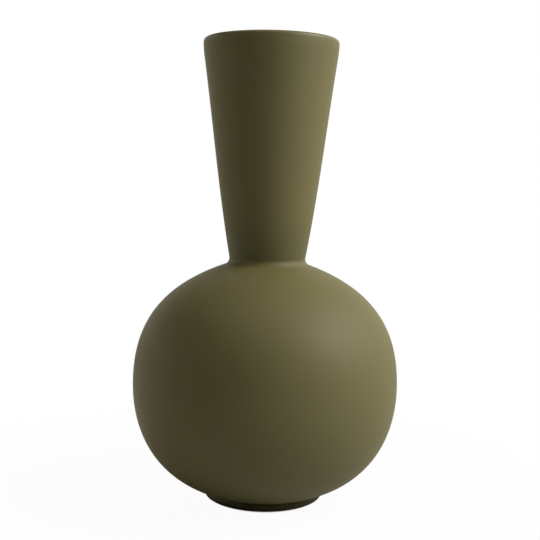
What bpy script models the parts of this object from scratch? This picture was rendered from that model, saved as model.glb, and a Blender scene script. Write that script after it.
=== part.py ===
# Trumpet vase: a globe body on a low foot ring, with a tall flared neck.
#
# The vase is made in three turned ceramic pieces that are luted together with slip.
# The neck has a spigot that drops into a collar on the globe.
# The foot ring has a tongue that fits a recess under the globe.
# Thin protective dots are stuck under the foot ring.
#
# Units are metres. The origin is at the middle of the base, on the table. +Z is up.

import math

import bmesh
import bpy

# Joints between pieces
seam_gap = 0.0003               # left between two faces that touch

# Protective dots under the foot
pad_count = 4
pad_radius = 0.0025
pad_thickness = 0.0008
pad_edge_round = 0.0002

# Foot ring
foot_radius = 0.03645           # outside of the ring, where its rounded side is widest
foot_ring_height = 0.0046
foot_ring_width = 0.01225       # from the outside to the inside of the ring
foot_side_round = 0.00275       # rounding of the outer side, down to the flat
foot_edge_round = 0.0009        # rounding of the inner bottom edge
tongue_width = 0.0030           # raised lip that centres the ring under the globe
tongue_height = 0.0020

# Globe. A reach, rise or drop is a share of the way between the outline's two ends.
base_inset = 0.00105            # how far the globe's base stands in from the foot ring's outside
base_slope = 17.6               # degrees from level, where the globe leaves the foot
base_reach = 0.779              # share of the way out over which it keeps that slope
belly_drop = 0.381              # share of the way down over which the flank stays upright
belly_radius = 0.0812           # the globe at its widest
belly_above_base = 0.0657
belly_rise = 0.428              # share of the way up over which the flank stays upright
shoulder_reach = 0.796          # share of the way out over which the shoulder keeps its slope
shoulder_slope = 19.7           # degrees from level, where the shoulder meets the neck
shoulder_height = 0.0744        # from the widest ring to the root of the neck
globe_wall = 0.0045
globe_floor = 0.0050

# Joint of neck and globe
neck_root_radius = 0.02275      # where the lines of shoulder and neck would cross
crease_round = 0.0042           # hollow rounding between shoulder and neck
collar_share = 0.5              # share of the wall that the collar takes round the spigot
gallery_thickness = 0.0024      # ledge inside the collar, under the spigot

# Neck
neck_height = 0.1308            # from the collar to the top of the lip
neck_wall = 0.0042
root_flare = 10.1               # degrees from upright at the collar
rim_radius = 0.0408             # outside of the neck at its widest, under the lip
rim_flare = 8.1                 # degrees from upright where the rim starts to bend upright
rim_bend = 0.056                # radius of that bend
flare_reach = 1 / 3             # share of the neck over which each end keeps its slope

# Fineness of the turned surfaces
turn_steps = 64
pad_sides = 20
round_steps = 3
side_steps = 6
crease_steps = 5
rim_steps = 3
neck_steps = 9
shoulder_steps = 12
flank_steps = 10
sharp_corner = 32               # degrees between faces that show as an edge
merge_distance = 0.00001

# Colours and finishes
glaze_colour = (0.188, 0.164, 0.058, 1.0)
glaze_roughness = 0.60
foot_colour = (0.062, 0.053, 0.022, 1.0)
foot_roughness = 0.66
pad_colour = (0.020, 0.019, 0.018, 1.0)
pad_roughness = 0.85


def direction(degrees):
    """Unit step (radius, height) at an angle above level."""
    angle = math.radians(degrees)
    return math.cos(angle), math.sin(angle)


def moved(point, step, distance):
    """A point moved by a distance along a step."""
    return point[0] + step[0] * distance, point[1] + step[1] * distance


def curve(start, start_pull, end_pull, end, steps):
    """Points on a smooth curve between two ends, drawn towards its two pull points."""
    points = []
    for number in range(steps + 1):
        t = number / steps
        shares = ((1 - t) ** 3, 3 * (1 - t) ** 2 * t, 3 * (1 - t) * t ** 2, t ** 3)
        corners = (start, start_pull, end_pull, end)
        radius = sum(share * corner[0] for share, corner in zip(shares, corners))
        height = sum(share * corner[1] for share, corner in zip(shares, corners))
        points.append((radius, height))
    return points


def arc(centre, radius, first_degrees, last_degrees, steps):
    """Points on an arc, from one angle to another, both included."""
    points = []
    for number in range(steps + 1):
        degrees = first_degrees + (last_degrees - first_degrees) * number / steps
        points.append(moved(centre, direction(degrees), radius))
    return points


def inner_face(outer_face, wall):
    """The inside of a wall, given its outside from top to bottom."""
    points = []
    for number, point in enumerate(outer_face):
        before = outer_face[max(number - 1, 0)]
        after = outer_face[min(number + 1, len(outer_face) - 1)]
        along = (after[0] - before[0], after[1] - before[1])
        inwards = (along[1], -along[0])
        points.append(moved(point, inwards, wall / math.hypot(along[0], along[1])))
    return points


def above_level(line, level):
    """The part of a rising line above a level, starting on that level."""
    upper = [point for point in line if point[1] > level]
    first = line.index(upper[0])
    if first == 0:
        return [(upper[0][0], level)] + upper
    below = line[first - 1]
    share = (level - below[1]) / (upper[0][1] - below[1])
    return [(below[0] + share * (upper[0][0] - below[0]), level)] + upper


# Levels, from the table upwards
foot_bottom = pad_thickness + seam_gap
foot_top = foot_bottom + foot_ring_height
globe_base = foot_top + seam_gap
underside_level = globe_base + tongue_height
floor_level = underside_level + globe_floor
belly_level = globe_base + belly_above_base
neck_root_level = belly_level + shoulder_height

# Foot joint: the tongue stands up inside the recess, and both share one bore.
foot_bore = foot_radius - foot_ring_width
tongue_radius = foot_bore + tongue_width
recess_radius = tongue_radius + seam_gap
foot_flat_outside = foot_radius - foot_side_round
foot_flat_inside = foot_bore + foot_edge_round

# Crease: a hollow rounding that touches the lines of the neck and the shoulder.
neck_line = direction(90 - root_flare)
shoulder_line = direction(-shoulder_slope)
neck_root = (neck_root_radius, neck_root_level)
half_corner = (90 - root_flare + shoulder_slope) / 2
crease_centre = moved(
    neck_root,
    direction(half_corner - shoulder_slope),
    crease_round / math.sin(math.radians(half_corner)),
)
crease = arc(crease_centre, crease_round, 180 - root_flare, 270 - shoulder_slope, crease_steps)
collar_edge = crease[0]
collar_top = collar_edge[1]
shoulder_start = crease[-1]

# Outside of the globe, from the crease over the belly to the foot
belly = (belly_radius, belly_level)
base = (foot_radius - base_inset, globe_base)
shoulder_run = (belly_radius - shoulder_start[0]) * shoulder_reach
base_run = (belly_radius - base[0]) * base_reach
shoulder = curve(
    shoulder_start,
    moved(shoulder_start, shoulder_line, shoulder_run / shoulder_line[0]),
    moved(belly, (0, 1), (shoulder_start[1] - belly_level) * belly_rise),
    belly,
    shoulder_steps,
)
flank = curve(
    belly,
    moved(belly, (0, -1), belly_above_base * belly_drop),
    moved(base, direction(base_slope), base_run / math.cos(math.radians(base_slope))),
    base,
    flank_steps,
)
globe_outside = shoulder + flank[1:]
globe_inside = inner_face(globe_outside, globe_wall)

# Neck joint: collar and spigot lap over each other, and both share one bore.
wall_at_joint = neck_wall / math.cos(math.radians(root_flare))
throat_radius = collar_edge[0] - wall_at_joint
socket_radius = collar_edge[0] - (wall_at_joint - seam_gap) * collar_share
spigot_radius = socket_radius - seam_gap
ceiling_end = globe_inside[0]
throat_rise = (ceiling_end[0] - throat_radius) * math.tan(math.radians(shoulder_slope))
throat_edge = (throat_radius, ceiling_end[1] + throat_rise)
gallery_level = throat_edge[1] + gallery_thickness


def material(name, colour, roughness):
    """A matt finish in one colour."""
    finish = bpy.data.materials.new(name)
    finish.use_nodes = True
    shader = finish.node_tree.nodes["Principled BSDF"]
    shader.inputs["Base Color"].default_value = colour
    shader.inputs["Roughness"].default_value = roughness
    shader.inputs["Metallic"].default_value = 0.0
    finish.diffuse_color = colour
    return finish


def shade(piece, finish):
    """Smooth shading with crisp corners, in the piece's finish."""
    piece.data.materials.clear()
    piece.data.materials.append(finish)
    piece.data.shade_smooth()
    piece.data.set_sharp_from_angle(angle=math.radians(sharp_corner))


def turned(name, outline, is_ring, finish, collection):
    """A solid turned about the Z axis. Its outline runs down the outer side."""
    count = len(outline)
    edges = [(number, number + 1) for number in range(count - 1)]
    if is_ring:
        edges.append((count - 1, 0))
    profile = bpy.data.meshes.new(name + "_profile")
    profile.from_pydata([(radius, 0.0, height) for radius, height in outline], edges, [])
    piece = bpy.data.objects.new(name, profile)
    collection.objects.link(piece)
    turning = piece.modifiers.new("turning", "SCREW")
    turning.axis = "Z"
    turning.steps = turn_steps
    turning.render_steps = turn_steps
    turning.use_merge_vertices = True
    turning.merge_threshold = merge_distance
    evaluated = piece.evaluated_get(bpy.context.evaluated_depsgraph_get())
    solid = bpy.data.meshes.new_from_object(evaluated)
    solid.name = name
    piece.modifiers.clear()
    piece.data = solid
    bpy.data.meshes.remove(profile)
    shade(piece, finish)


def make_neck(finish, collection):
    """Flared neck with a round lip, standing on the collar with its spigot inside."""
    lip_radius = neck_wall / 2
    lip_level = collar_top + neck_height - lip_radius
    lip = arc((rim_radius - lip_radius, lip_level), lip_radius, 180, 0, 2 * round_steps)
    rim = arc((rim_radius - rim_bend, lip_level), rim_bend, 0, -rim_flare, rim_steps)
    flare_top = rim[-1]
    end_rise = (flare_top[1] - collar_top) * flare_reach
    flare = curve(
        flare_top,
        moved(flare_top, direction(270 - rim_flare), end_rise / math.cos(math.radians(rim_flare))),
        moved(collar_edge, neck_line, end_rise / neck_line[1]),
        collar_edge,
        neck_steps,
    )
    outside = rim[:-1] + flare
    bore = inner_face(outside, neck_wall)
    shelf = moved(collar_edge, neck_line, seam_gap / neck_line[1])
    spigot_bottom = gallery_level + seam_gap

    outline = lip[:-1] + outside[:-1]
    outline += [shelf, (spigot_radius, shelf[1]), (spigot_radius, spigot_bottom)]
    outline += [(throat_radius, spigot_bottom), (throat_radius, collar_top)]
    outline += list(reversed(bore[1:-1]))
    turned("trumpet_neck", outline, True, finish, collection)


def make_globe(finish, collection):
    """Hollow globe with a floor, a collar for the neck and a recess for the foot ring."""
    climbing_inside = list(reversed(globe_inside))
    outline = [(0.0, floor_level)] + above_level(climbing_inside, floor_level)
    outline += [throat_edge, (throat_radius, gallery_level), (socket_radius, gallery_level)]
    outline += [(socket_radius, collar_top)]
    outline += crease[:-1] + globe_outside
    outline += [(recess_radius, globe_base), (recess_radius, underside_level)]
    outline += [(0.0, underside_level)]
    turned("globe_body", outline, False, finish, collection)


def make_foot_ring(finish, collection):
    """Low ring with a rounded side and a tongue that stands up inside the recess."""
    side_centre = (foot_flat_outside, foot_bottom + foot_side_round)
    side_top = math.degrees(math.asin((foot_ring_height - foot_side_round) / foot_side_round))
    inner_round = (foot_flat_inside, foot_bottom + foot_edge_round)
    tongue_top = foot_top + tongue_height
    outline = [(tongue_radius, foot_top)]
    outline += arc(side_centre, foot_side_round, side_top, -90, side_steps)
    outline += arc(inner_round, foot_edge_round, 270, 180, round_steps)
    outline += [(foot_bore, tongue_top), (tongue_radius, tongue_top)]
    turned("foot_ring", outline, True, finish, collection)


def make_foot_pads(finish, collection):
    """Protective dots, evenly spaced along the middle of the foot ring's flat."""
    circle_radius = (foot_flat_inside + foot_flat_outside) / 2
    for number in range(pad_count):
        turn = 2 * math.pi * (number + 0.5) / pad_count
        mesh = bpy.data.meshes.new("foot_pad_" + str(number + 1))
        shape = bmesh.new()
        bmesh.ops.create_cone(
            shape,
            cap_ends=True,
            segments=pad_sides,
            radius1=pad_radius,
            radius2=pad_radius,
            depth=pad_thickness,
        )
        shape.to_mesh(mesh)
        shape.free()
        pad = bpy.data.objects.new(mesh.name, mesh)
        collection.objects.link(pad)
        pad.location.x = circle_radius * math.cos(turn)
        pad.location.y = circle_radius * math.sin(turn)
        pad.location.z = pad_thickness / 2
        rounding = pad.modifiers.new("rounded_edge", "BEVEL")
        rounding.width = pad_edge_round
        rounding.segments = 1
        rounding.limit_method = "ANGLE"
        shade(pad, finish)


for old_object in list(bpy.data.objects):
    bpy.data.objects.remove(old_object, do_unlink=True)

vase = bpy.data.collections.new("trumpet_vase")
bpy.context.scene.collection.children.link(vase)

make_neck(material("neck_glaze", glaze_colour, glaze_roughness), vase)
make_globe(material("globe_glaze", glaze_colour, glaze_roughness), vase)
make_foot_ring(material("foot_glaze", foot_colour, foot_roughness), vase)
make_foot_pads(material("pad_rubber", pad_colour, pad_roughness), vase)
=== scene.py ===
# Trumpet vase in matt olive glaze: the finish of each turned piece, and the photograph's studio.
# The sections follow the vase as it is put together: globe, foot ring, neck and foot pads.
# Lengths are metres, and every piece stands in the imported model's own frame.

import math

import bmesh
import bpy
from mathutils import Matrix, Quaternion, Vector


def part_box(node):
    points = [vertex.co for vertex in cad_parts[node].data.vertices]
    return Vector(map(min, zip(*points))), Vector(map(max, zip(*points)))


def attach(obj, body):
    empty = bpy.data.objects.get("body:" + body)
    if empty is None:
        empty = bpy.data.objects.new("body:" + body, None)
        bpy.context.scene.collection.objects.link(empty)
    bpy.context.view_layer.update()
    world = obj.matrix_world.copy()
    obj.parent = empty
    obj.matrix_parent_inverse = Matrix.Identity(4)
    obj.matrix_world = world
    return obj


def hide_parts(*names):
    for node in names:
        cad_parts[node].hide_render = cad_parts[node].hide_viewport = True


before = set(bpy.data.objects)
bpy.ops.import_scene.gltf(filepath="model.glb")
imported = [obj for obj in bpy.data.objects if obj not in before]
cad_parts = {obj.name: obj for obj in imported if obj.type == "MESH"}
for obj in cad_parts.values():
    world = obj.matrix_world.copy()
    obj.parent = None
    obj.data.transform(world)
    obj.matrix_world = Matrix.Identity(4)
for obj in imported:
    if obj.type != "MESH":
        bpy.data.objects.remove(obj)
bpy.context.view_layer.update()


# Globe body: a hollow ball of fine stoneware with its own floor, cast in one piece.
# A short collar is left round its mouth to carry the neck, and a shallow round recess
# under the floor takes the foot ring. The glaze is a smooth olive matt.

globe_low, globe_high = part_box("globe_body")
belly_radius = globe_high.x
collar_top = globe_high.z
globe_base = globe_low.z
belly_above_base = 0.0657
belly_level = globe_base + belly_above_base
belly_rise = 0.428
belly_drop = 0.381
shoulder_reach = 0.796
shoulder_slope = 19.7
base_reach = 0.779
base_slope = 17.6
base_radius = 0.0354
recess_radius = 0.0275
recess_depth = 0.0020
globe_wall = 0.0045
globe_floor = 0.0050
floor_corner = 0.0008
underside_level = globe_base + recess_depth
floor_level = underside_level + globe_floor
root_flare = 10.1
neck_root_radius = 0.02275
neck_wall = 0.0042
crease_round = 0.0042
crease_steps = 14
gallery_depth = 0.0046
socket_wall = 0.0020
seam_gap = 0.0003
seam_step = 0.00015
slow_wobble = 0.00010
slow_start = 0.9
slow_twist = 17
quick_wobble = 0.00006
quick_start = 1.1
quick_twist = 29
turn_sides = 192
smooth_steps = 48
corner_angle = math.radians(38)
on_axis = 1e-6


def step_at(degrees):
    """Unit step outwards and upwards at an angle above level."""
    return Vector((math.cos(math.radians(degrees)), math.sin(math.radians(degrees))))


def bend(start, start_pull, end_pull, end, steps):
    """Points on a smooth curve between two ends, drawn towards two pull points."""
    points = []
    for number in range(steps + 1):
        t = number / steps
        near = start * (1 - t) ** 3 + start_pull * (3 * (1 - t) ** 2 * t)
        points.append(near + end_pull * (3 * (1 - t) * t ** 2) + end * t ** 3)
    return points


def arc(centre, radius, first, last, steps):
    """Points on an arc between two angles in degrees."""
    return [
        centre + step_at(first + (last - first) * number / steps) * radius
        for number in range(steps + 1)
    ]


def set_in(outline, depth):
    """An outline moved square to itself, into the wall behind it."""
    points = []
    for number, point in enumerate(outline):
        along = outline[min(number + 1, len(outline) - 1)] - outline[max(number - 1, 0)]
        points.append(point + Vector((along.y, -along.x)).normalized() * depth)
    return points


def hand_wobble(angle, height):
    """How far the clay falls short of a true circle there, by the hand that finished it."""
    slow = 0.5 + 0.5 * math.sin(2 * angle + slow_start + slow_twist * height)
    quick = 0.5 + 0.5 * math.sin(3 * angle - quick_start - quick_twist * height)
    return slow_wobble * slow + quick_wobble * quick


def turned(name, outline, is_ring, sides=turn_sides):
    """A solid turned about the upright axis, smooth but for its true corners."""
    shape = bmesh.new()
    rings = []
    for point in outline:
        if point.x < on_axis:
            rings.append([shape.verts.new((0, 0, point.y))] * sides)
            continue
        ring = []
        for side in range(sides):
            angle = 2 * math.pi * side / sides
            radius = point.x - hand_wobble(angle, point.y)
            ring.append(shape.verts.new((radius * math.cos(angle), radius * math.sin(angle), point.y)))
        rings.append(ring)
    if is_ring:
        rings.append(rings[0])
    for above, below in zip(rings, rings[1:]):
        for side in range(sides):
            after = (side + 1) % sides
            corners = [above[side], below[side], below[after], above[after]]
            unique = list(dict.fromkeys(corners))
            if len(unique) > 2:
                shape.faces.new(unique)
    bmesh.ops.recalc_face_normals(shape, faces=shape.faces)
    mesh = bpy.data.meshes.new(name)
    shape.to_mesh(mesh)
    shape.free()
    mesh.shade_smooth()
    mesh.set_sharp_from_angle(angle=corner_angle)
    piece = bpy.data.objects.new(name, mesh)
    bpy.context.scene.collection.objects.link(piece)
    return piece


class Signal:
    """A number, colour or vector on its way through a material's nodes."""

    def __init__(self, tree, socket):
        self.tree = tree
        self.socket = socket

    def node(self, kind, settings=None, values=None, out=0):
        """A new node, with its settings first and then its sockets' values or links."""
        made = self.tree.nodes.new(kind)
        for key, value in (settings or {}).items():
            setattr(made, key, value)
        for key, value in (values or {}).items():
            if isinstance(value, Signal):
                self.tree.links.new(value.socket, made.inputs[key])
            else:
                made.inputs[key].default_value = value
        return Signal(self.tree, made.outputs[out])

    def maths(self, operation, first, second):
        """One operation on two numbers."""
        return self.node("ShaderNodeMath", {"operation": operation}, {0: first, 1: second})

    def __add__(self, other):
        return self.maths("ADD", self, other)

    def __radd__(self, other):
        return self.maths("ADD", other, self)

    def __sub__(self, other):
        return self.maths("SUBTRACT", self, other)

    def __rsub__(self, other):
        return self.maths("SUBTRACT", other, self)

    def __mul__(self, other):
        return self.maths("MULTIPLY", self, other)

    def __rmul__(self, other):
        return self.maths("MULTIPLY", other, self)

    def larger(self, other):
        """The larger of this number and another."""
        return self.maths("MAXIMUM", self, other)

    def ramp(self, low, high, to_low=0.0, to_high=1.0):
        """This number eased from one range to another, and held at its ends."""
        return self.node(
            "ShaderNodeMapRange",
            {"interpolation_type": "SMOOTHSTEP"},
            {"Value": self, "From Min": low, "From Max": high, "To Min": to_low, "To Max": to_high},
        )

    def tint(self, without, full):
        """A colour that goes from one to another as this number goes from 0 to 1."""
        colours = {}
        for key, colour in ((6, without), (7, full)):
            colours[key] = colour if isinstance(colour, Signal) else (*colour, 1.0)
        return self.node("ShaderNodeMix", {"data_type": "RGBA"}, {0: self, **colours}, out=2)

    def blend(self, without, full):
        """A shader that goes from one to another as this number goes from 0 to 1."""
        shaders = {1: Signal(self.tree, without.outputs[0]), 2: Signal(self.tree, full.outputs[0])}
        return self.node("ShaderNodeMixShader", None, {0: self, **shaders})

    def axis(self, number):
        """One coordinate of this place or heading: 0 across, 1 away and 2 up."""
        return self.node("ShaderNodeSeparateXYZ", None, {0: self}, out=number)

    def noise(self, scale, detail=3.0, roughness=0.5):
        """Soft cloudy noise over this place."""
        values = {"Vector": self, "Scale": scale, "Detail": detail, "Roughness": roughness}
        return self.node("ShaderNodeTexNoise", None, values)

    def distance_to(self, place):
        """How far this place is from a point."""
        return self.node("ShaderNodeVectorMath", {"operation": "DISTANCE"}, {0: self, 1: place}, out=1)


# The glaze and its marks: scales are per metre, and tones, tints and glosses are shares.
olive = (0.1917, 0.1672, 0.0598)
browner = (1.05, 1.01, 0.96)
greener = (0.96, 1.00, 1.04)
# Pooled olive: thicker glaze and painted shade above the crease, and painted light on the foot ring's
# top.
pooled_and_painted_olive = (0.147, 0.130, 0.039)
# Pale glaze for dust, rubs and hairs, and for painted highlights on the lip and beside a pinhole.
pale_mark_and_highlight = (0.330, 0.320, 0.245)
pinhole_dark = (0.030, 0.024, 0.014)
globe_roughness = 0.59
glaze_shine = 0.455
cloud_scale = 24
cloud_edges = (0.32, 0.68)
drift_scale = 9
drift_edges = (0.35, 0.65)
drift_share = 0.55
mottle_scale = 330
mottle_tone = 0.10
mottle_gloss = 0.10
grain_scale = 2300
grain_tone = 0.16
glaze_relief = 0.00006
glaze_bump = 0.35
pinhole_depth = 1.5
pooled_gloss = 0.10
# Reach of the darker glaze at the neck's root: pooled glaze and painted shade in the crease.
pool_and_shade_fades_above = 0.034
pool_and_shade_full_above = 0.004
pool_and_shade_full_below = 0.0002
pool_and_shade_ends_below = 0.0018
thin_glaze_and_highlight_tint = 0.08
thinned_gloss = 0.20
worn_gloss = 0.35
smear_scale = 150
smear_edges = (0.25, 0.75)
rub_core = 0.2
soft_edge = 0.3
pinhole_spacing = 0.0190
pinhole_size = 0.00036
pinhole_share = 0.16
pinhole_offset = (0.013, 0.002, 0.007)
dust_spacing = 0.0140
dust_size = 0.00030
dust_share = 0.10
dust_offset = (0.031, 0.017, 0.003)
dust_tint = 0.6


def finish_start(name):
    """A material's empty tree, and the place on the vase that its patterns follow."""
    material = bpy.data.materials.new(name)
    material.use_nodes = True
    tree = material.node_tree
    start = Signal(tree, tree.nodes.new("ShaderNodeTexCoord").outputs["Object"])
    return material, start


def specks(place, spacing, size, share, offset):
    """Small round dots, one in a share of the cells of a loose grid."""
    moved = place.node("ShaderNodeVectorMath", {"operation": "ADD"}, {0: place, 1: offset})
    cells = {"Vector": moved, "Scale": 1 / spacing}
    nearness = moved.node("ShaderNodeTexVoronoi", None, cells, out=0)
    cell_colour = moved.node("ShaderNodeTexVoronoi", None, cells, out=1)
    lot = cell_colour.node("ShaderNodeSeparateColor", None, {0: cell_colour}, out=0)
    chosen = lot.maths("LESS_THAN", lot, share)
    return nearness.ramp(size / spacing, soft_edge * size / spacing) * chosen


def olive_glaze(name, colour, roughness, pooled_and_painted=None, thinned_and_highlit=None, marks=(), pits=()):
    """Smooth matt stoneware glaze: cloudy, finely grained, with pinholes and pale dust."""
    material, place = finish_start(name)
    clouds = place.noise(cloud_scale, 4.0)
    drift = place.noise(drift_scale, 2.0)
    mottle = place.noise(mottle_scale, 4.0, 0.6)
    grain = place.noise(grain_scale, 2.0, 0.6)
    brown = tuple(part * share for part, share in zip(colour, browner))
    green = tuple(part * share for part, share in zip(colour, greener))
    shade = clouds.ramp(*cloud_edges).tint(colour, brown)
    shade = drift.ramp(*drift_edges, 0.0, drift_share).tint(shade, green)
    tone = 1.0 + (mottle - 0.5) * mottle_tone + (grain - 0.5) * grain_tone
    shade = tone.node("ShaderNodeVectorMath", {"operation": "SCALE"}, {0: shade, "Scale": tone})
    gloss = roughness + (mottle - 0.5) * mottle_gloss
    # Pooled tint: thicker glaze and painted shade at the crease, and painted light on the foot's top.
    if pooled_and_painted is not None:
        thick_and_painted = pooled_and_painted(place)
        shade = thick_and_painted.tint(shade, pooled_and_painted_olive)
        gloss = gloss - thick_and_painted * pooled_gloss
    # On the lip's crest, the pale tint is thin glaze and a painted highlight.
    if thinned_and_highlit is not None:
        thin_and_highlit = thinned_and_highlit(place)
        shade = (thin_and_highlit * thin_glaze_and_highlight_tint).tint(shade, pale_mark_and_highlight)
        gloss = gloss - thin_and_highlit * thinned_gloss
    for mark in marks:
        marked = mark(place)
        shade = marked.tint(shade, pale_mark_and_highlight)
        gloss = gloss - marked * worn_gloss
    pinholes = specks(place, pinhole_spacing, pinhole_size, pinhole_share, pinhole_offset)
    for pit in pits:
        pinholes = pinholes.larger(pit(place))
    dust = specks(place, dust_spacing, dust_size, dust_share, dust_offset)
    shade = pinholes.tint(shade, pinhole_dark)
    shade = (dust * dust_tint).tint(shade, pale_mark_and_highlight)
    surface = mottle * 0.5 + grain * 0.5 - pinholes * pinhole_depth
    relief = {"Strength": glaze_bump, "Distance": glaze_relief, "Height": surface}
    bump = surface.node("ShaderNodeBump", None, relief)
    shader = material.node_tree.nodes["Principled BSDF"]
    links = material.node_tree.links
    links.new(shade.socket, shader.inputs["Base Color"])
    links.new(gloss.socket, shader.inputs["Roughness"])
    links.new(bump.socket, shader.inputs["Normal"])
    shader.inputs["Specular IOR Level"].default_value = glaze_shine
    return material


def crease_pool_and_shade(place):
    """Where the glaze ran down the neck and lies thicker, down to the bend of the crease, darker there
    also as painted shade.
    """
    height = place.axis(2)
    down_the_neck = height.ramp(collar_top + pool_and_shade_fades_above, collar_top + pool_and_shade_full_above)
    over_the_bend = height.ramp(collar_top - pool_and_shade_ends_below, collar_top - pool_and_shade_full_below)
    return down_the_neck * over_the_bend


def rub(centre, reach, strength):
    """A faint scuff where something brushed the glaze."""

    def marked(place):
        broken = place.noise(smear_scale, 1.0).ramp(*smear_edges)
        return place.distance_to(centre).ramp(reach, reach * rub_core) * broken * strength

    return marked


def spot(centre, size, strength):
    """A single round speck on the glaze."""

    def marked(place):
        return place.distance_to(centre).ramp(size, size * soft_edge) * strength

    return marked


def scratch(start, end, width, strength):
    """A fine straight line on the glaze, soft at its ends."""
    run = Vector(end) - Vector(start)

    def marked(place):
        vectors = "ShaderNodeVectorMath"
        offset = place.node(vectors, {"operation": "SUBTRACT"}, {0: place, 1: start})
        along = offset.node(vectors, {"operation": "DOT_PRODUCT"}, {0: offset, 1: run}, out=1)
        share = along * (1 / run.length_squared)
        share = share.node("ShaderNodeClamp", None, {"Value": share})
        nearest = share.node(vectors, {"operation": "SCALE"}, {0: run, "Scale": share})
        return offset.distance_to(nearest).ramp(width, width * soft_edge) * strength

    return marked


half_corner = (90 - root_flare + shoulder_slope) / 2
tangent = crease_round / math.tan(math.radians(half_corner))
neck_root = Vector((neck_root_radius, collar_top - tangent * step_at(90 - root_flare).y))
crease_centre = neck_root + step_at(half_corner - shoulder_slope) * (
    crease_round / math.sin(math.radians(half_corner))
)
crease = arc(crease_centre, crease_round, 180 - root_flare, 270 - shoulder_slope, crease_steps)
collar_edge = crease[0]
belly = Vector((belly_radius, belly_level))
base = Vector((base_radius, globe_base))
shoulder_run = (belly_radius - crease[-1].x) * shoulder_reach
base_run = (belly_radius - base_radius) * base_reach
shoulder = bend(
    crease[-1],
    crease[-1] + step_at(-shoulder_slope) * (shoulder_run / math.cos(math.radians(shoulder_slope))),
    belly + Vector((0, (crease[-1].y - belly_level) * belly_rise)),
    belly,
    smooth_steps,
)
flank = bend(
    belly,
    belly - Vector((0, (belly_level - globe_base) * belly_drop)),
    base + step_at(base_slope) * (base_run / math.cos(math.radians(base_slope))),
    base,
    smooth_steps,
)
globe_outside = shoulder + flank[1:]
globe_inside = [
    point for point in reversed(set_in(globe_outside, globe_wall)) if point.y > floor_level
]
throat_radius = collar_edge.x - neck_wall / math.cos(math.radians(root_flare))
socket_radius = collar_edge.x - socket_wall
gallery_level = collar_top - gallery_depth
throat_level = globe_inside[-1].y + (globe_inside[-1].x - throat_radius) * math.tan(
    math.radians(shoulder_slope)
)
globe_outline = [
    Vector((0, floor_level)),
    Vector((globe_inside[0].x - floor_corner, floor_level)),
]
globe_outline += globe_inside
globe_outline += [Vector((throat_radius, throat_level)), Vector((throat_radius, gallery_level))]
globe_outline += [
    Vector((socket_radius, gallery_level)),
    Vector((socket_radius, collar_top - seam_step)),
]
globe_outline += crease[:-1] + globe_outside
globe_outline += [Vector((recess_radius, globe_base)), Vector((recess_radius, underside_level))]
globe_outline += [Vector((0, underside_level))]

globe = turned("globe", globe_outline, False)
globe.data.materials.append(
    olive_glaze(
        "globe_glaze",
        olive,
        globe_roughness,
        pooled_and_painted=crease_pool_and_shade,
        marks=(
            rub((-0.0125, -0.0392, 0.1385), 0.0130, 0.10),
            rub((-0.0205, -0.0320, 0.1400), 0.0060, 0.12),
            spot((-0.0210, -0.0282, 0.1413), 0.0009, 0.22),
            spot((-0.0490, -0.0512, 0.1129), 0.0006, 0.30),
            spot((-0.0675, -0.0324, 0.1056), 0.0006, 0.30),
            spot((-0.0005, -0.0811, 0.0761), 0.0006, 0.25),
            # A painted highlight on the edge of the first pinhole among the pits below.
            spot((0.0008, -0.0760, 0.1029), 0.0005, 0.50),
            scratch((0.0165, -0.0299, 0.1418), (0.0224, -0.0294, 0.1406), 0.0004, 0.20),
        ),
        pits=(
            spot((0.0002, -0.0760, 0.1027), 0.0005, 0.5),
            spot((0.0486, -0.0417, 0.1218), 0.0005, 0.8),
        ),
    )
)
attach(globe, "root")
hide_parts("globe_body")


# Foot ring: a low ring of the same clay with a rounded side, luted into the recess under
# the globe. Its side is glazed, and its flat is wiped bare so that it doesn't stick in firing.

foot_low, foot_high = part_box("foot_ring")
foot_radius = foot_high.x
foot_bottom = foot_low.z
foot_side_round = 0.00275
foot_flat = foot_radius - foot_side_round
foot_bore = 0.0242
tongue_width = 0.0030
tongue_radius = foot_bore + tongue_width
foot_edge_round = 0.0009
side_steps = 20
edge_steps = 8
# The foot's glaze is painted dark as the shade under the globe's belly.
foot_olive_painted_shade = (0.080, 0.066, 0.018)
foot_roughness = 0.66
# Where the dark foot glaze is lightened towards its top as painted light.
foot_painted_light_ends = 0.0020
foot_painted_light_full = 0.0004
glaze_ends = 0.00105
all_bare = 0.00075
flat_ends = 0.00002
side_starts = 0.00012
waver = 0.0002
waver_scale = 260
# Near black: the painted contact shadow along the foot's bottom edge.
painted_contact_shadow = (0.004, 0.0035, 0.003)
bare_clay = (0.300, 0.235, 0.165)
bare_clay_dark = (0.215, 0.165, 0.115)
bare_roughness = 0.92
bare_shine = 0.2
clay_scale = 900
clay_edges = (0.3, 0.7)
grit_spacing = 0.0030
grit_size = 0.00035
grit_share = 0.35
grit_offset = (0.001, 0.004, 0.002)
grit_tint = 0.7


def foot_top_painted_light(place):
    """Painted light on the top of the ring, lifting the shade in the joint under the globe."""
    return place.axis(2).ramp(globe_base - foot_painted_light_ends, globe_base - foot_painted_light_full)


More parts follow.
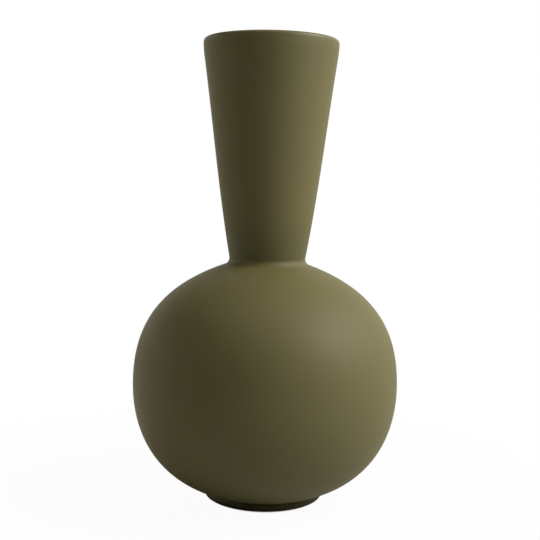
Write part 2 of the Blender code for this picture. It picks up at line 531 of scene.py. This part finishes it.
def wiped_foot_with_painted_shade(name):
    """Olive glaze painted dark as shade above, a black band of painted contact shadow on the wiped
    edge, and bare clay on the flat.
    """
    material = olive_glaze(name, foot_olive_painted_shade, foot_roughness, pooled_and_painted=foot_top_painted_light)
    tree = material.node_tree
    glazed = tree.nodes["Principled BSDF"]
    place = Signal(tree, tree.nodes.new("ShaderNodeTexCoord").outputs["Object"])
    clay = place.noise(clay_scale, 4.0).ramp(*clay_edges).tint(bare_clay, bare_clay_dark)
    grit = specks(place, grit_spacing, grit_size, grit_share, grit_offset)
    clay = (grit * grit_tint).tint(clay, pinhole_dark)
    bare = tree.nodes.new("ShaderNodeBsdfPrincipled")
    bare.inputs["Roughness"].default_value = bare_roughness
    bare.inputs["Specular IOR Level"].default_value = bare_shine
    line = place.axis(2) + (place.noise(waver_scale, 2.0) - 0.5) * waver
    # Above the flat, the bare edge is painted black as the contact shadow.
    side = line.ramp(foot_bottom + flat_ends, foot_bottom + side_starts)
    tree.links.new(side.tint(clay, painted_contact_shadow).socket, bare.inputs["Base Color"])
    wiped = line.ramp(foot_bottom + glaze_ends, foot_bottom + all_bare)
    both = wiped.blend(glazed, bare)
    tree.links.new(both.socket, tree.nodes["Material Output"].inputs["Surface"])
    return material


side_centre = Vector((foot_flat, foot_bottom + foot_side_round))
side_top = math.degrees(math.asin((globe_base - seam_step - side_centre.y) / foot_side_round))
foot_outline = [Vector((tongue_radius, globe_base - seam_step))]
foot_outline += arc(side_centre, foot_side_round, side_top, -90, side_steps)
edge_centre = Vector((foot_bore + foot_edge_round, foot_bottom + foot_edge_round))
foot_outline += arc(edge_centre, foot_edge_round, 270, 180, edge_steps)
foot_outline += [Vector((foot_bore, foot_high.z)), Vector((tongue_radius, foot_high.z))]

foot = turned("foot", foot_outline, True)
foot.data.materials.append(wiped_foot_with_painted_shade("foot_glaze"))
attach(foot, "root")
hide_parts("foot_ring")


# Neck: a flared tube like the bell of a trumpet, cast apart and luted on to the collar.
# Its spigot sits inside the collar, and its lip is sponged round, where the glaze thins and is painted
# paler as a highlight.

neck_low, neck_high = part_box("trumpet_neck")
rim_radius = neck_high.x
rim_flare = 8.1
rim_bend = 0.056
lip_round = neck_wall / 2
lip_level = neck_high.z - lip_round
lip_steps = 24
rim_steps = 12
crest_starts = 0.0036
crest_full = 0.0012
spigot_radius = socket_radius - seam_gap
neck_roughness = 0.60


def lip_thin_glaze_and_highlight(place):
    """The crest of the lip, where the glaze ran thin, and paler there as a painted highlight."""
    return place.axis(2).ramp(neck_high.z - crest_starts, neck_high.z - crest_full)


lip = arc(Vector((rim_radius - lip_round, lip_level)), lip_round, 180, 0, lip_steps)
rim = arc(Vector((rim_radius - rim_bend, lip_level)), rim_bend, 0, -rim_flare, rim_steps)
third = (rim[-1].y - collar_top) / 3
neck_flare = bend(
    rim[-1],
    rim[-1] + step_at(270 - rim_flare) * (third / math.cos(math.radians(rim_flare))),
    collar_edge + step_at(90 - root_flare) * (third / math.cos(math.radians(root_flare))),
    collar_edge,
    smooth_steps,
)
neck_outside = rim[:-1] + neck_flare
neck_bore = set_in(neck_outside, neck_wall)
neck_outline = lip[:-1] + neck_outside
neck_outline += [
    Vector((spigot_radius, collar_top + seam_step)),
    Vector((spigot_radius, neck_low.z)),
]
neck_outline += [Vector((throat_radius, neck_low.z)), Vector((throat_radius, collar_top))]
neck_outline += list(reversed(neck_bore[1:-1]))

neck = turned("neck", neck_outline, True)
neck.data.materials.append(
    olive_glaze(
        "neck_glaze",
        olive,
        neck_roughness,
        pooled_and_painted=crease_pool_and_shade,
        thinned_and_highlit=lip_thin_glaze_and_highlight,
        marks=(
            scratch((-0.0116, -0.0367, 0.2582), (-0.0097, -0.0370, 0.2562), 0.00045, 0.16),
            scratch((-0.0097, -0.0370, 0.2562), (-0.0076, -0.0373, 0.2548), 0.00045, 0.18),
            scratch((-0.0076, -0.0373, 0.2548), (-0.0065, -0.0376, 0.2556), 0.00045, 0.16),
            spot((0.0221, -0.0328, 0.2656), 0.0006, 0.25),
            spot((0.0234, -0.0210, 0.2034), 0.0006, 0.25),
            spot((0.0132, -0.0274, 0.1955), 0.0006, 0.25),
            spot((-0.0100, -0.0230, 0.1597), 0.0006, 0.20),
        ),
    )
)
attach(neck, "root")
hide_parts("trumpet_neck")


# Foot pads: four thin stick-on dots of black rubber that keep the hard foot off the table.
# They are die-cut from sheet, so their edges are rounded only slightly.

pad_black = (0.021, 0.020, 0.019)
pad_grey = (0.034, 0.033, 0.031)
pad_round = 0.0002
pad_round_steps = 3
pad_sides = 48
pad_corner = math.radians(60)
rubber_roughness = 0.78
rubber_unevenness = 0.15
rubber_grain = 1800
rubber_edges = (0.35, 0.7)
rubber_relief = 0.00005
rubber_bump = 0.4


def rubber(name):
    """Matt black rubber with a fine moulded grain and a little dust."""
    material, place = finish_start(name)
    grain = place.noise(rubber_grain, 3.0)
    shader = material.node_tree.nodes["Principled BSDF"]
    links = material.node_tree.links
    shade = grain.ramp(*rubber_edges).tint(pad_black, pad_grey)
    roughness = rubber_roughness + grain * rubber_unevenness
    links.new(shade.socket, shader.inputs["Base Color"])
    links.new(roughness.socket, shader.inputs["Roughness"])
    relief = {"Strength": rubber_bump, "Distance": rubber_relief, "Height": grain}
    bump = grain.node("ShaderNodeBump", None, relief)
    links.new(bump.socket, shader.inputs["Normal"])
    return material


pad_rubber = rubber("pad_rubber")
for number in range(1, 5):
    node = "foot_pad_" + str(number)
    pad_low, pad_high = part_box(node)
    middle = (pad_low + pad_high) / 2
    pad_radius = (pad_high.x - pad_low.x) / 2
    shape = bmesh.new()
    bmesh.ops.create_cone(
        shape,
        cap_ends=True,
        segments=pad_sides,
        radius1=pad_radius,
        radius2=pad_radius,
        depth=pad_high.z - pad_low.z,
    )
    edges = [edge for edge in shape.edges if edge.calc_face_angle() > pad_corner]
    bmesh.ops.bevel(
        shape, geom=edges, offset=pad_round, segments=pad_round_steps, profile=0.5, affect="EDGES"
    )
    bmesh.ops.translate(shape, verts=shape.verts, vec=middle)
    pad_mesh = bpy.data.meshes.new("pad_" + str(number))
    shape.to_mesh(pad_mesh)
    shape.free()
    pad_mesh.shade_smooth()
    pad_mesh.set_sharp_from_angle(angle=corner_angle)
    pad = bpy.data.objects.new("pad_" + str(number), pad_mesh)
    bpy.context.scene.collection.objects.link(pad)
    pad.data.materials.append(pad_rubber)
    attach(pad, "root")
    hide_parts(node)


# Studio: a white table that sweeps up into a white backdrop, a large soft box high on the
# right, a faint fill in front of it and one overhead. Seen directly, table and backdrop are
# pure white but for the vase's faint shadow. In the glaze they are a little warm, and the table
# shines only behind on the left.

floor_reach = 3.0
floor_sides = 128
table_white = (0.90, 0.90, 0.90)
table_bounce = (0.40, 0.40, 0.40)
table_roughness = 0.9
table_shine = 0.1
warm_white = (1.0, 0.97, 0.80)
pure_white = (1.0, 1.0, 1.0)
room_dark = (0.02, 0.02, 0.02, 1.0)
contact_from = 0.0300
contact_to = 0.0332
fade_from = 0.07
fade_to = 0.34
fade_floor = 0.96
sweep_near = 0.05
sweep_lit = 0.20
sweep_far = 0.75
sweep_back = (-0.10, 0.15)
sweep_left = (0.10, -0.10)
backdrop_turn = 0.2
backdrop_lift = 0.25
backdrop_edge = (-0.12, 0.04)
backdrop_top = (0.68, 0.50)
mirrored_edge = (-0.6, 0.0)
mirrored_top = (0.45, 0.15)
vase_middle = (0, 0, 0.15)
camera_place = Vector((0.00175, -0.59597, 0.19520))
camera_pitch = 5.14
camera_roll = 1.135
camera_lens = 65.08


def ray_kinds(tree):
    """Whether a ray comes from the camera, off a shiny surface, or through a clear one."""
    path = tree.nodes.new("ShaderNodeLightPath")
    names = ("Is Camera Ray", "Is Glossy Ray", "Is Transmission Ray")
    return [Signal(tree, path.outputs[name]) for name in names]


floor_shape = bmesh.new()
bmesh.ops.create_circle(floor_shape, cap_ends=True, segments=floor_sides, radius=floor_reach)
floor_mesh = bpy.data.meshes.new("table_top")
floor_shape.to_mesh(floor_mesh)
floor_shape.free()
floor = bpy.data.objects.new("table_top", floor_mesh)
bpy.context.scene.collection.objects.link(floor)

floor_material, floor_place = finish_start("table_white")
tree = floor_material.node_tree
seen, shine, through = ray_kinds(tree)
shows = seen.larger(shine.larger(through))
reach = floor_place.distance_to((0, 0, 0))
far = reach.ramp(contact_from, contact_to) * reach.ramp(fade_from, fade_to, fade_floor, 1.0)
lit_ring = reach.ramp(sweep_near, sweep_lit) * reach.ramp(sweep_far, sweep_lit)
lit_side = floor_place.axis(1).ramp(*sweep_back) * floor_place.axis(0).ramp(*sweep_left)
shining = (far * seen).larger(lit_ring * lit_side * shine)
table = tree.nodes["Principled BSDF"]
table.inputs["Roughness"].default_value = table_roughness
table.inputs["Specular IOR Level"].default_value = table_shine
tree.links.new(shows.tint(table_bounce, table_white).socket, table.inputs["Base Color"])
glow = tree.nodes.new("ShaderNodeEmission")
glow.inputs["Strength"].default_value = 1.0
tree.links.new(seen.tint(warm_white, pure_white).socket, glow.inputs["Color"])
table_and_glow = shining.blend(table, glow)
tree.links.new(table_and_glow.socket, tree.nodes["Material Output"].inputs["Surface"])
floor.data.materials.append(floor_material)

world = bpy.data.worlds.new("studio")
bpy.context.scene.world = world
world.use_nodes = True
sky = world.node_tree
room = sky.nodes["Background"]
room.inputs["Color"].default_value = room_dark
white = sky.nodes.new("ShaderNodeBackground")
seen, shine, through = ray_kinds(sky)
heading = Signal(sky, sky.nodes.new("ShaderNodeTexCoord").outputs["Generated"])
rightward = heading.axis(0)
backward = heading.axis(1)
upward = heading.axis(2)
around = backward - rightward * backdrop_turn
behind = around.ramp(*backdrop_edge) * (upward - rightward * backdrop_lift).ramp(*backdrop_top)
mirrored = shine * around.ramp(*mirrored_edge) * upward.ramp(*mirrored_top)
shown = seen.larger(through)
sky.links.new(shown.tint(warm_white, pure_white).socket, white.inputs["Color"])
backdrop = shown.larger(behind.larger(mirrored)).blend(room, white)
sky.links.new(backdrop.socket, sky.nodes["World Output"].inputs["Surface"])


def soft_box(name, width, height, glow_level, place, target):
    """A flat diffused lamp that faces a point on the vase, glow_level times as bright as white."""
    lamp = bpy.data.lights.new(name, "AREA")
    lamp.shape = "RECTANGLE"
    lamp.size = width
    lamp.size_y = height
    lamp.energy = math.pi * width * height * glow_level
    box = bpy.data.objects.new(name, lamp)
    bpy.context.scene.collection.objects.link(box)
    box.location = place
    box.rotation_mode = "QUATERNION"
    box.rotation_quaternion = (Vector(target) - Vector(place)).to_track_quat("-Z", "Y")
    box.visible_camera = False


soft_box("key_box", 0.85, 0.85, 7.95, (1.160, -0.307, 1.04), vase_middle)
soft_box("front_fill", 0.6, 0.6, 0.33, (0.946, -0.739, 0.45), vase_middle)
soft_box("top_box", 1.4, 1.4, 0.48, (0.0, 0.0, 1.40), vase_middle)

camera = bpy.data.objects.new("camera", bpy.data.cameras.new("camera"))
bpy.context.scene.collection.objects.link(camera)
camera.data.lens = camera_lens
camera.location = camera_place
camera.rotation_mode = "QUATERNION"
camera.rotation_quaternion = Quaternion((1, 0, 0), math.radians(90 - camera_pitch)) @ Quaternion(
    (0, 0, 1), math.radians(camera_roll)
)
bpy.context.scene.camera = camera
bpy.context.scene.view_settings.view_transform = "Standard"
